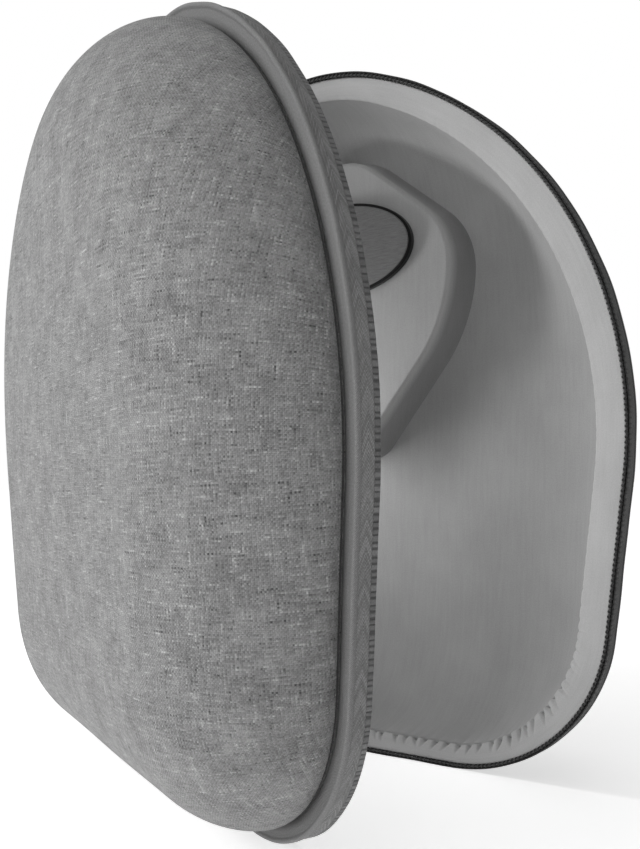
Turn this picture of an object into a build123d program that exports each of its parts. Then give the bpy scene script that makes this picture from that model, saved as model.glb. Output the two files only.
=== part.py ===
"""Hard clamshell carrying case for over-ear headphones.

The case stands open on its flat bottom. +Z is up, +Y is the depth of the back half, away from its mouth,
and the lid swings on a fabric hinge at the left, -X, side. The origin is the centre of the flat bottom of
the back half's zipper tape. Lengths are in millimetres and angles in degrees.

Outlines are seen from the front, in X and Z. An inset is measured inwards from the zipper tape's outside,
and a level is a depth measured from the plane where the two closed halves meet.
"""

from build123d import *
from math import acos, atan2, cos, pi, radians, sin
import os

# Outline of the zipper tape
case_height = 222.0
bottom_half_length = 52.3
bottom_corner_radius = 50.7
side_taper = 4.5
shoulder_radius = 122.3
shoulder_angle = 69.0

# Depths of one half, from the closing plane
case_depth = 42.5
coil_start = 0.4
coil_width = 1.5
tape_width = 5.0
fold_thickness = 1.0

# Layers
tape_thickness = 1.0
coil_thickness = 1.5
shell_inset = 3.5
fabric_thickness = 1.0
foam_thickness = 4.0
lining_thickness = 1.0
binding_thickness = 1.2

# Rounding of the shell: how far the side curves in, and how square the curve is
round_inset = 42.0
squareness = 2.0
dome_steps = 9

# Mouth of each half, a bevelled band
bevel_start_inset = 1.9
bevel_end_inset = 9.4
bevel_end_level = 9.5

# Lid
lid_open_angle = 26.2
hinge_gap = 1.4

# Fabric hinge, on the left side
hinge_low = 46.0
hinge_high = 124.0
hinge_thickness = 1.0
hinge_lining_thickness = 0.6

# Divider between the ear cups, on the floor of the back half
divider_half_width = 42.0
divider_widest_z = 163.5
divider_top_z = 201.5
divider_bottom_z = 100.5
divider_top_radius = 20.0
divider_upper_radius = 22.0
divider_lower_radius = 50.0
divider_tip_radius = 12.0
divider_rise = 16.0
divider_round = 2.6
divider_root = 2.0
divider_cover_thickness = 1.0
patch_z = 171.3
patch_width = 52.5
patch_height = 26.5
patch_thickness = 1.2
patch_border = 2.0
backing_thickness = 0.8

# Zipper sliders
slider_length = 9.0
slider_half_width = 4.0
slider_outer_gap = 0.35
slider_plate = 1.5
slider_corner_radius = 1.5
slider_inner_half_width = 1.6
slider_inner_plate = 0.7
coil_clearance = 0.25
post_width = 0.5
post_length = 2.0
bail_height = 3.0
bail_wire = 0.9
bail_half_width = 0.8
bail_half_length = 2.6
bail_sink = 0.2
pull_length = 17.0
pull_half_width = 2.4
pull_thickness = 1.0
pull_bar_radius = 0.5
pull_arm_width = 1.2
pull_slot_end = 4.0
upper_pull_swing = 17.0
upper_park_angle = 20.0
lower_park_angle = 14.0
stop_length = 2.4
stop_thickness = 1.8
relief_depth = 5.2
relief_clearance = 1.5

# Worked-out values
tape_start = coil_start + coil_width
tape_end = tape_start + tape_width
closing_y = -(tape_start + tape_width / 2)
layer_stack = fabric_thickness + foam_thickness + lining_thickness
taper = radians(side_taper)
top_turn = radians(shoulder_angle)


def solve_side_length():
    """Length of the straight side that brings the outline to case_height."""
    rise = (1 - sin(top_turn)) / cos(top_turn)
    fixed = bottom_corner_radius * (1 - sin(taper)) + shoulder_radius * (1 + sin(taper))
    reach = bottom_half_length + (bottom_corner_radius - shoulder_radius) * cos(taper)
    return (case_height - fixed - rise * reach) / (cos(taper) + rise * sin(taper))


side_length = solve_side_length()
side_top_x = bottom_half_length + bottom_corner_radius * cos(taper) + side_length * sin(taper)
side_top_z = bottom_corner_radius * (1 - sin(taper)) + side_length * cos(taper)
shoulder_x = side_top_x - shoulder_radius * cos(taper)
shoulder_z = side_top_z + shoulder_radius * sin(taper)
top_offset = shoulder_x / cos(top_turn)
top_radius = shoulder_radius + top_offset
top_z = shoulder_z - top_offset * sin(top_turn)
half_width = shoulder_x + shoulder_radius
hinge_x = -(half_width + hinge_gap)


def arc(x, z, radius, start, end, y):
    """Circular arc in a plane of constant y, by its angles in radians."""
    def at(angle):
        return Vector(x + radius * cos(angle), y, z + radius * sin(angle))
    return Edge.make_three_point_arc(at(start), at((start + end) / 2), at(end))


def outline(inset, level):
    """Closed outline of the case, an inset inside the tape and a level from the closing plane."""
    y = closing_y + level
    edges = [arc(-bottom_half_length, bottom_corner_radius, bottom_corner_radius - inset,
                 pi + taper, 1.5 * pi, y)]
    edges.append(Edge.make_line((-bottom_half_length, y, inset), (bottom_half_length, y, inset)))
    edges.append(arc(bottom_half_length, bottom_corner_radius, bottom_corner_radius - inset,
                     -pi / 2, -taper, y))
    shoulder = shoulder_radius - inset
    edges.append(Edge.make_line(edges[-1] @ 1, (shoulder_x + shoulder * cos(taper), y,
                                                shoulder_z - shoulder * sin(taper))))
    edges.append(arc(shoulder_x, shoulder_z, shoulder, -taper, top_turn, y))
    edges.append(arc(0, top_z, top_radius - inset, top_turn, pi - top_turn, y))
    edges.append(arc(-shoulder_x, shoulder_z, shoulder, pi - top_turn, pi + taper, y))
    edges.append(Edge.make_line(edges[-1] @ 1, edges[0] @ 0))
    return Wire(edges)


def slab(inset, low_level, high_level):
    """Solid of the whole outline between two levels."""
    return extrude(Face(outline(inset, low_level)), high_level - low_level, dir=(0, 1, 0))


def ring(outer_inset, inner_inset, low_level, high_level):
    """Band that follows the outline."""
    return slab(outer_inset, low_level, high_level) - slab(inner_inset, low_level - 1, high_level + 1)


def dome_profile(offset, step):
    """Inset and level of one point of the shell's rounded side, an offset inside its outer surface."""
    angle = radians(90) * step / (dome_steps - 1)
    power = 2 / squareness
    depth = case_depth - tape_end
    inset = round_inset * (1 - cos(angle) ** power)
    level = depth * sin(angle) ** power
    inward = (depth * cos(angle) ** (2 - power), round_inset * sin(angle) ** (2 - power))
    length = (inward[0] ** 2 + inward[1] ** 2) ** 0.5
    return (shell_inset + inset + offset * inward[0] / length,
            tape_end + level - offset * inward[1] / length)


def dome(offset):
    """Solid bowl of the shell, open end at the closing plane, an offset inside its outer surface."""
    wires = [outline(*dome_profile(offset, step)) for step in range(dome_steps)]
    body = Solid.make_loft(wires)
    collar = extrude(Face(outline(shell_inset + offset, 0)), dome_profile(offset, 0)[1], dir=(0, 1, 0))
    return collar + body


def side_block(low_z, high_z, x_limit=-30.0):
    """Box on the hinge side between two heights."""
    width = 2 * half_width
    block = Box(width, 4 * case_depth, high_z - low_z, align=(Align.MAX, Align.CENTER, Align.MIN))
    return block.translate((x_limit, closing_y, low_z))


def mouth(shrink):
    """Funnel that the bevelled mouth leaves open, shrunk on its slope."""
    slope = (bevel_end_inset - bevel_start_inset) / (bevel_end_level - tape_start)
    ahead = 3.0
    start = outline(bevel_start_inset + shrink - ahead * slope, tape_start - ahead)
    end = outline(bevel_end_inset + shrink, bevel_end_level)
    return Solid.make_loft([start, end], ruled=True)


bowls = {depth: dome(depth) for depth in (
    0.0,
    fabric_thickness,
    fabric_thickness + foam_thickness,
    layer_stack,
)}


def outer_fabric():
    """Cover laminated on the outside of the foam, up to the folded tape."""
    return (bowls[0.0] - bowls[fabric_thickness]) & slab(0, tape_end, case_depth + 1)


def foam_shell():
    """Moulded foam tray with a bevelled rim inside the tape."""
    rim_level = tape_start
    wall = bowls[fabric_thickness] - bowls[fabric_thickness + foam_thickness]
    rim = ring(tape_thickness, bevel_end_inset, rim_level, tape_end - fold_thickness)
    tray = (wall & slab(0, rim_level, case_depth + 1)) + (rim - bowls[fabric_thickness + foam_thickness])
    return tray - mouth(-binding_thickness)


def lining():
    """Knit laminated on the inside of the foam, from the binding's hem inwards."""
    skin = bowls[fabric_thickness + foam_thickness] - bowls[layer_stack]
    return (skin & slab(0, tape_start, case_depth + 1)) - mouth(-binding_thickness)


def rim_binding():
    """Band round the mouth, from the coil down the bevel to its hem."""
    band = slab(tape_thickness, tape_start, bevel_end_level) - mouth(0)
    return band & mouth(-binding_thickness)


def zipper_tape():
    """Woven tape standing as a collar, folded in under the shell's edge."""
    collar = ring(0, tape_thickness, tape_start, tape_end)
    fold = slab(tape_thickness, tape_end - fold_thickness, tape_end) - bowls[fabric_thickness]
    return collar + fold


def zipper_coil():
    """Row of coil elements on the tape's edge, open along the hinge."""
    row = ring(0, coil_thickness, coil_start, tape_start)
    return row - side_block(hinge_low, hinge_high)


def zipper_stops():
    """Sewn stops at the two ends of the coil."""
    row = ring(0, stop_thickness, coil_start, tape_start)
    upper = row & side_block(hinge_high - stop_length, hinge_high)
    lower = row & side_block(hinge_low, hinge_low + stop_length)
    return Compound([*upper.solids(), *lower.solids()])


def hinge_cover_leaf():
    """Half of the outer hinge strip, sewn on the tape's outside."""
    strip = ring(-hinge_thickness, 0, coil_start, tape_end)
    return strip & side_block(hinge_low, hinge_high)


def hinge_lining_leaf():
    """Half of the inner hinge strip, lying on the binding."""
    strip = mouth(0) - mouth(hinge_lining_thickness)
    strip = strip & slab(0, tape_start, bevel_end_level)
    return strip & side_block(hinge_low, hinge_high)


def tangent_angle(first, second):
    """Direction of the outward normal of the line that touches two circles, going clockwise."""
    across = second[0] - first[0]
    up = second[1] - first[1]
    gap = (across ** 2 + up ** 2) ** 0.5
    return atan2(up, across) + acos((first[2] - second[2]) / gap)


def divider_outline(inset, level):
    """Pick shape, point down: four circles on each side of the middle, joined by arcs and tangent lines."""
    y = closing_y + level
    top = (0, divider_top_z - divider_top_radius, divider_top_radius)
    upper = (divider_half_width - divider_upper_radius, divider_widest_z, divider_upper_radius)
    lower = (divider_half_width - divider_lower_radius, divider_widest_z, divider_lower_radius)
    tip = (0, divider_bottom_z + divider_tip_radius, divider_tip_radius)
    high = tangent_angle(top, upper)
    low = tangent_angle(lower, tip)

    def bend(circle, start, end, side=1):
        return arc(side * circle[0], circle[1], circle[2] - inset, start, end, y)

    bends = [
        [bend(top, pi - high, high)],
        [bend(upper, high, 0), bend(lower, 0, low)],
        [bend(tip, low, -pi - low)],
        [bend(lower, -pi - low, -pi, -1), bend(upper, -pi, -pi - high, -1)],
    ]
    edges = []
    for group, following in zip(bends, bends[1:] + bends[:1]):
        edges += group
        edges.append(Edge.make_line(group[-1] @ 1, following[0] @ 0))
    return Wire(edges)


def divider_block(offset):
    """Block with a rounded edge, an offset inside its cover, with a root that reaches under the floor."""
    root_level = case_depth - layer_stack + divider_root
    outline = Face(divider_outline(offset, root_level))
    block = extrude(outline, divider_root + divider_rise - offset, dir=(0, -1, 0))
    face_edges = block.edges().group_by(Axis.Y)[0]
    return fillet(face_edges, divider_round - offset)


def divider_foam():
    """Foam core, cut to the curve of the floor and the wall."""
    return divider_block(divider_cover_thickness) & bowls[layer_stack]


def divider_cover():
    """Knit cover drawn over the divider's foam."""
    return (divider_block(0.0) & bowls[layer_stack]) - divider_foam()


def oval(width, height, level, thickness):
    """Oval pad that stands at a level on the divider's face, towards the mouth."""
    plane = Plane(origin=(0, closing_y + level, patch_z), x_dir=(1, 0, 0), z_dir=(0, -1, 0))
    return extrude(plane * Ellipse(width / 2, height / 2), thickness)


def sector(arc_x, arc_z, inner_radius, outer_radius, angle, half_length, low_level, high_level):
    """Block bent along the zipper, its length measured at the outer radius."""
    half_angle = half_length / outer_radius
    y = closing_y + low_level
    outer = arc(arc_x, arc_z, outer_radius, angle - half_angle, angle + half_angle, y)
    inner = arc(arc_x, arc_z, inner_radius, angle + half_angle, angle - half_angle, y)
    edges = [outer, Edge.make_line(outer @ 1, inner @ 0), inner, Edge.make_line(inner @ 1, outer @ 0)]
    return extrude(Face(Wire(edges)), high_level - low_level, dir=(0, 1, 0))


def edges_of_length(shape, length):
    """Straight edges of a shape that have one length."""
    return [edge for edge in shape.edges().filter_by(GeomType.LINE) if abs(edge.length - length) < 0.01]


def slider(arc_x, arc_z, radius, angle, nose):
    """Slider round both coils, with a bail. nose is the turning sense of its leading end."""
    half_length = slider_length / 2
    inner_top = radius - coil_thickness - coil_clearance
    plate_bottom = radius + slider_outer_gap
    plate_top = plate_bottom + slider_plate
    outer_plate = sector(arc_x, arc_z, plate_bottom, plate_top, angle, half_length,
                         -slider_half_width, slider_half_width)
    outer_plate = fillet(edges_of_length(outer_plate, slider_plate), slider_corner_radius)
    inner_plate = sector(arc_x, arc_z, inner_top - slider_inner_plate, inner_top, angle, half_length,
                         -slider_inner_half_width, slider_inner_half_width)
    post_angle = angle + nose * (half_length - post_length / 2) / radius
    post = sector(arc_x, arc_z, inner_top - slider_inner_plate / 2, plate_bottom + slider_plate / 2,
                  post_angle, post_length / 2, -post_width / 2, post_width / 2)
    bail = sector(arc_x, arc_z, plate_top - slider_plate / 2, plate_top + bail_height, angle,
                  bail_half_length, -bail_half_width, bail_half_width)
    window = sector(arc_x, arc_z, plate_top - bail_sink, plate_top + bail_height - bail_wire, angle,
                    bail_half_length - bail_wire, -2 * bail_half_width, 2 * bail_half_width)
    return outer_plate + inner_plate + post + (bail - window)


def pivot(arc_x, arc_z, radius, angle):
    """Centre of the pull's crossbar, in the middle of the bail's window."""
    reach = radius + slider_outer_gap + slider_plate + (bail_height - bail_wire) / 2
    return (arc_x + reach * cos(angle), closing_y, arc_z + reach * sin(angle))


def pull(arc_x, arc_z, radius, angle, swing):
    """Pull tab hanging from its crossbar, swung out from straight down by an angle in degrees."""
    bar = Cylinder(pull_bar_radius, 2 * pull_half_width, rotation=(90, 0, 0))
    tab = Box(pull_thickness, 2 * pull_half_width, pull_length - pull_slot_end,
              align=(Align.CENTER, Align.CENTER, Align.MAX)).translate((0, 0, -pull_slot_end))
    ends = tab.edges().filter_by(Axis.X).group_by(Axis.Z)[0]
    tab = fillet(ends, pull_half_width - pull_arm_width)
    arm = Box(2 * pull_bar_radius, pull_arm_width, pull_slot_end + pull_bar_radius,
              align=(Align.CENTER, Align.MAX, Align.MAX)).translate((0, pull_half_width, 0))
    body = bar + tab + arm + arm.mirror(Plane.XZ)
    return body.rotate(Axis.Y, swing).translate(pivot(arc_x, arc_z, radius, angle))


def to_lid(shape):
    """Turns a piece of the back half into the same piece of the lid, swung open."""
    closed = shape.mirror(Plane.XZ.offset(-closing_y))
    hinge = Axis((hinge_x, closing_y, 0), (0, 0, -1))
    return closed.rotate(hinge, lid_open_angle)


upper_arc = (-shoulder_x, shoulder_z, shoulder_radius, pi - radians(upper_park_angle))
lower_arc = (-bottom_half_length, bottom_corner_radius, bottom_corner_radius,
             pi + radians(lower_park_angle))


def slider_relief(arc_x, arc_z, radius, angle):
    """Space the lid's tape leaves for the far side of a parked slider."""
    return sector(arc_x, arc_z, radius - relief_depth, radius + relief_depth, angle,
                  slider_length / 2 + relief_clearance, -1.0, relief_depth)


def relieved(shape):
    """A piece of the lid's zipper with room for both parked sliders."""
    return shape - slider_relief(*upper_arc) - slider_relief(*lower_arc)


half_pieces = {
    "foam_shell": foam_shell(),
    "outer_fabric": outer_fabric(),
    "lining": lining(),
    "rim_binding": rim_binding(),
    "zipper_tape": zipper_tape(),
    "zipper_coil": zipper_coil(),
    "zipper_stops": zipper_stops(),
    "hinge_cover_leaf": hinge_cover_leaf(),
    "hinge_lining_leaf": hinge_lining_leaf(),
}

pieces = {"back_" + name: shape for name, shape in half_pieces.items()}
for name, shape in half_pieces.items():
    if name in ("zipper_tape", "zipper_coil"):
        shape = relieved(shape)
    pieces["lid_" + name] = to_lid(shape)

face_level = case_depth - layer_stack - divider_rise
pieces["divider_foam"] = divider_foam()
pieces["divider_cover"] = divider_cover()
pieces["loop_patch_backing"] = oval(patch_width + 2 * patch_border, patch_height + 2 * patch_border,
                                    face_level, backing_thickness)
pieces["loop_patch"] = oval(patch_width, patch_height, face_level - backing_thickness, patch_thickness)
pieces["upper_slider"] = slider(*upper_arc, -1)
pieces["upper_pull"] = pull(*upper_arc, upper_pull_swing)
pieces["lower_slider"] = slider(*lower_arc, 1)
pieces["lower_pull"] = pull(*lower_arc, 0.0)

os.makedirs("parts", exist_ok=True)
for name, shape in pieces.items():
    export_step(shape, f"parts/{name}.step")
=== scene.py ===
from math import acos, atan2, cos, pi, radians, sin

import bpy
import numpy as np
from mathutils import Matrix, Vector


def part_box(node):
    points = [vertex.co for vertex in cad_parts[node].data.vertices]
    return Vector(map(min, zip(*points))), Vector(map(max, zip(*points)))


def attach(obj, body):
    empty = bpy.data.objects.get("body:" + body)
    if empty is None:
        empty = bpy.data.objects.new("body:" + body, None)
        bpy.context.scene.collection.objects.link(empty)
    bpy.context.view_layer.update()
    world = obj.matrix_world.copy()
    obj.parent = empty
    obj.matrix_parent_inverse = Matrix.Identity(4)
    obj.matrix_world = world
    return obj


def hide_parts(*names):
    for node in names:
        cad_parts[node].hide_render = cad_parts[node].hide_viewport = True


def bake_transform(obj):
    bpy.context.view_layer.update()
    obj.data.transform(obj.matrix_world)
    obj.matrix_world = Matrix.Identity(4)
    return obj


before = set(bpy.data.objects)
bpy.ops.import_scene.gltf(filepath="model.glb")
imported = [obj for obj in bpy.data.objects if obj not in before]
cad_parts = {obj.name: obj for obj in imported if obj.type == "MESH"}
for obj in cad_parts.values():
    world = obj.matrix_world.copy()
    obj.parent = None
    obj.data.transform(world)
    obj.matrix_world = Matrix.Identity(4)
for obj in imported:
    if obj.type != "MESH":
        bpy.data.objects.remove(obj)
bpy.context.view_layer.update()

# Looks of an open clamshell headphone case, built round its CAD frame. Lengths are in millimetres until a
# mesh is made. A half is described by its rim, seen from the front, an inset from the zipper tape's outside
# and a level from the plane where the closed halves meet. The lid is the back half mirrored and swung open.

MM = 0.001
tape_low, tape_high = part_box("back_zipper_tape")

# Outline of the zipper tape
case_height = tape_high[2] / MM
bottom_half_length = 52.3
bottom_corner_radius = 50.7
side_taper = radians(4.5)
shoulder_radius = 122.3
shoulder_angle = radians(69.0)

# Depths of one half
case_depth = 42.5
crown = 1.8
tape_start = 1.9
tape_end = 6.9
shell_inset = 3.5
round_inset = 42.0
layer_stack = 6.0
closing_y = tape_low[1] / MM - tape_start

# Lid
lid_open_angle = radians(26.2)
hinge_gap = 1.4
hinge_low = 46.0
hinge_high = 124.0

# Bevelled band inside the rim: its hem's inset and level at the top and bottom, and how much more they are at
# the sides. It starts at the coil, and its gathers are fold_spacing apart.
hem_inset = 6.4
hem_inset_gain = 5.8
hem_level = 5.0
hem_level_gain = 4.0
hem_power = 1.4
band_start_inset = 1.55
band_start_level = 1.75
fold_spacing = 4.1

# How uneven the cloth lies, as a share of drape, and how far drape is moved aside for the inside
outer_unevenness = 0.25
lining_unevenness = 0.35
lining_shift = 40

# Zipper coil: the cord's place inside the tape's edge, the filament's winding round it, and its end stops
cord_inset = 1.08
cord_level = 1.14
cord_radius = 0.3
coil_pitch = 1.5
coil_half_width = 0.4
coil_half_depth = 0.48
filament_radius = 0.26
stop_length = 2.4
stop_overlap = 2.0

# Divider on the floor of the back half
divider_half_width = 41.3
divider_widest_z = 163.5
divider_top_z = 200.8
divider_bottom_z = 101.5
divider_top_radius = 20.0
divider_upper_radius = 22.0
divider_lower_radius = 50.0
divider_tip_radius = 12.0
divider_edge_radius = 1.5
divider_flare = 2.0
divider_puff = 0.7
divider_middle_z = 154.0
face_level = 20.5
patch_z = 171.3
patch_width = 54.6
patch_height = 28.6
patch_border = 0.95

# Camera: place, focal length, heading to the left, tilt down and roll
camera_place = (184.6, -267.9, 95.7)
camera_lens = 39.53
camera_heading = 0.6056
camera_tilt = 0.1391
camera_roll = 0.0156
camera_shift_up = 0.21

white = (1.0, 1.0, 1.0, 1.0)

rng = np.random.default_rng(7)


# ---------------- outline

def solve_side_length():
    """Length of the straight side that brings the outline to case_height."""
    rise = (1 - sin(shoulder_angle)) / cos(shoulder_angle)
    fixed = bottom_corner_radius * (1 - sin(side_taper)) + shoulder_radius * (1 + sin(side_taper))
    reach = bottom_half_length + (bottom_corner_radius - shoulder_radius) * cos(side_taper)
    return (case_height - fixed - rise * reach) / (cos(side_taper) + rise * sin(side_taper))


side_length = solve_side_length()
side_top_x = bottom_half_length + bottom_corner_radius * cos(side_taper) + side_length * sin(side_taper)
side_top_z = bottom_corner_radius * (1 - sin(side_taper)) + side_length * cos(side_taper)
shoulder_x = side_top_x - shoulder_radius * cos(side_taper)
shoulder_z = side_top_z + shoulder_radius * sin(side_taper)
top_radius = shoulder_radius + shoulder_x / cos(shoulder_angle)
top_z = case_height - top_radius
half_width = shoulder_x + shoulder_radius
hinge_x = -(half_width + hinge_gap)

# Right half of the outline, from the middle of the bottom to the middle of the top.
# A line is its start and direction, an arc its centre, radius and start angle.
side_start = (bottom_half_length + bottom_corner_radius * cos(side_taper),
              bottom_corner_radius * (1 - sin(side_taper)))
stretches = [
    ("line", (0.0, 0.0), (1.0, 0.0), bottom_half_length),
    ("arc", (bottom_half_length, bottom_corner_radius), (bottom_corner_radius, -pi / 2),
     bottom_corner_radius * (pi / 2 - side_taper)),
    ("line", side_start, (sin(side_taper), cos(side_taper)), side_length),
    ("arc", (shoulder_x, shoulder_z), (shoulder_radius, -side_taper),
     shoulder_radius * (side_taper + shoulder_angle)),
    ("arc", (0.0, top_z), (top_radius, shoulder_angle), top_radius * (pi / 2 - shoulder_angle)),
]
perimeter = 2 * sum(stretch[3] for stretch in stretches)


def rim(distance):
    """x, z and outward normal of the outline at distances from the middle of the bottom, right side first."""
    distance = np.mod(np.asarray(distance, float), perimeter)
    left = distance > perimeter / 2
    along = np.where(left, perimeter - distance, distance)
    x, z, nx, nz = (np.zeros_like(along) for _ in range(4))
    start = 0.0
    for kind, first, second, length in stretches:
        here = (along >= start - 1e-9) & (along <= start + length + 1e-6)
        run = along[here] - start
        if kind == "line":
            x[here] = first[0] + second[0] * run
            z[here] = first[1] + second[1] * run
            nx[here] = second[1]
            nz[here] = -second[0]
        else:
            angle = second[1] + run / second[0]
            x[here] = first[0] + second[0] * np.cos(angle)
            z[here] = first[1] + second[0] * np.sin(angle)
            nx[here] = np.cos(angle)
            nz[here] = np.sin(angle)
        start += length
    side = np.where(left, -1.0, 1.0)
    return x * side, z, nx * side, nz


def stations(count):
    """Evenly spaced distances round the rim."""
    return np.arange(count) * perimeter / count


def on_half(side, x, z, level):
    """Points of the back half, or of the lid, from x, z and level."""
    x, z, level = np.broadcast_arrays(x, z, level)
    if side == "back":
        return np.stack([x, closing_y + level, z], -1)
    reach = x - hinge_x
    return np.stack([hinge_x + reach * cos(lid_open_angle) - level * sin(lid_open_angle),
                     closing_y - reach * sin(lid_open_angle) - level * cos(lid_open_angle), z], -1)


def along_rim(side, distance, inset, level):
    """Points at distances round the rim, insets inside it and levels."""
    x, z, nx, nz = rim(distance)
    return on_half(side, x - nx * inset, z - nz * inset, level)


def unit(vectors):
    """Vectors scaled to length 1."""
    return vectors / np.linalg.norm(vectors, axis=-1, keepdims=True)


def run_along(*coordinates):
    """Distance run from point to point, down the first axis of the coordinates."""
    steps = np.sqrt(sum(np.diff(values, axis=0) ** 2 for values in coordinates))
    return np.concatenate([np.zeros_like(steps[:1]), np.cumsum(steps, axis=0)])


# ---------------- meshes

def make_object(name, points, faces, uvs):
    """Smooth mesh object from points in millimetres. uvs has one pair for each corner of each face."""
    mesh = bpy.data.meshes.new(name)
    mesh.from_pydata((np.asarray(points) * MM).tolist(), [], [tuple(face) for face in faces])
    layer = mesh.uv_layers.new(name="cloth")
    layer.data.foreach_set("uv", np.asarray(uvs, np.float32).ravel())
    mesh.shade_smooth()
    mesh.validate()
    piece = bpy.data.objects.new(name, mesh)
    bpy.context.scene.collection.objects.link(piece)
    return piece


def grid(rows, columns, wrap_rows, wrap_columns, offset=0):
    """Quads of a grid of points, and the row and column of each corner, unwrapped."""
    r = np.arange(rows if wrap_rows else rows - 1)
    c = np.arange(columns if wrap_columns else columns - 1)
    r, c = (a.ravel() for a in np.meshgrid(r, c, indexing="ij"))
    corner_r = np.stack([r, r + 1, r + 1, r], 1)
    corner_c = np.stack([c, c, c + 1, c + 1], 1)
    faces = offset + (corner_r % rows) * columns + corner_c % columns
    return faces, corner_r, corner_c


def face_out(piece):
    """Turns every face of a closed piece outwards."""
    volume = sum(p.area * p.normal.dot(p.center) for p in piece.data.polygons)
    if volume < 0:
        piece.data.flip_normals()
    return piece


def swept(name, points, u, v, ends=False):
    """Closed section carried along a path. points is sections by stations, u and v are its cloth coordinates.

    With ends, the path is open and both ends are closed; otherwise it runs round the whole rim."""
    rows, columns = points.shape[:2]
    faces, corner_r, corner_c = grid(rows, columns, True, not ends)
    u = np.append(u, u[-1] + np.linalg.norm(points[0, 0] - points[-1, 0]))
    v = np.append(v, v[-1] + (v[1] - v[0]))
    uvs = np.stack([u[corner_r], v[corner_c]], -1).reshape(-1, 2)
    faces = faces.tolist()
    if ends:
        first = [r * columns for r in range(rows)]
        faces += [first, [corner + columns - 1 for corner in reversed(first)]]
        uvs = np.concatenate([uvs, np.zeros((2 * rows, 2))])
    return face_out(make_object(name, points.reshape(-1, 3), faces, uvs))


def closed_bowl(name, outside, inside, outside_uv, inside_uv):
    """Closed shell from two stacks of rings, each from the mouth to its middle point.

    A stack is (rings, middle): rings is rings by stations by 3, middle is one point."""
    points, faces, uvs, bases = [], [], [], []
    total = 0
    for (rings, middle), uv in ((outside, outside_uv), (inside, inside_uv)):
        count, columns = rings.shape[:2]
        bases.append(total)
        quads, corner_r, corner_c = grid(count, columns, False, True, total)
        quads = quads if len(bases) == 1 else quads[:, ::-1]
        ring_uv, middle_uv = uv
        quad_uv = ring_uv[corner_r, corner_c % columns]
        quad_uv = quad_uv if len(bases) == 1 else quad_uv[:, ::-1]
        faces += quads.tolist()
        uvs.append(quad_uv.reshape(-1, 2))
        pole = total + count * columns
        last = total + (count - 1) * columns
        around = np.arange(columns)
        fan = np.stack([last + around, np.full(columns, pole), last + (around + 1) % columns], 1)
        fan_uv = np.stack([ring_uv[-1, around], np.tile(middle_uv, (columns, 1)),
                           ring_uv[-1, (around + 1) % columns]], 1)
        if len(bases) == 2:
            fan = fan[:, ::-1]
            fan_uv = fan_uv[:, ::-1]
        faces += fan.tolist()
        uvs.append(fan_uv.reshape(-1, 2))
        points += [rings.reshape(-1, 3), np.asarray(middle, float).reshape(1, 3)]
        total = pole + 1
    columns = outside[0].shape[1]
    around = np.arange(columns)
    joined = np.stack([bases[0] + (around + 1) % columns, bases[1] + (around + 1) % columns,
                       bases[1] + around, bases[0] + around], 1)
    faces += joined.tolist()
    first = outside_uv[0][0]
    uvs.append(np.stack([first[(around + 1) % columns], first[(around + 1) % columns],
                         first[around], first[around]], 1).reshape(-1, 2))
    return face_out(make_object(name, np.concatenate(points), faces, np.concatenate(uvs)))


def finish_piece(piece, body, material, slot, *nodes):
    """Puts a piece on its body with its material, and hides the CAD nodes it stands for."""
    piece.data.materials.append(material)
    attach(piece, body)
    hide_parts(*nodes)


# ---------------- materials

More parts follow.
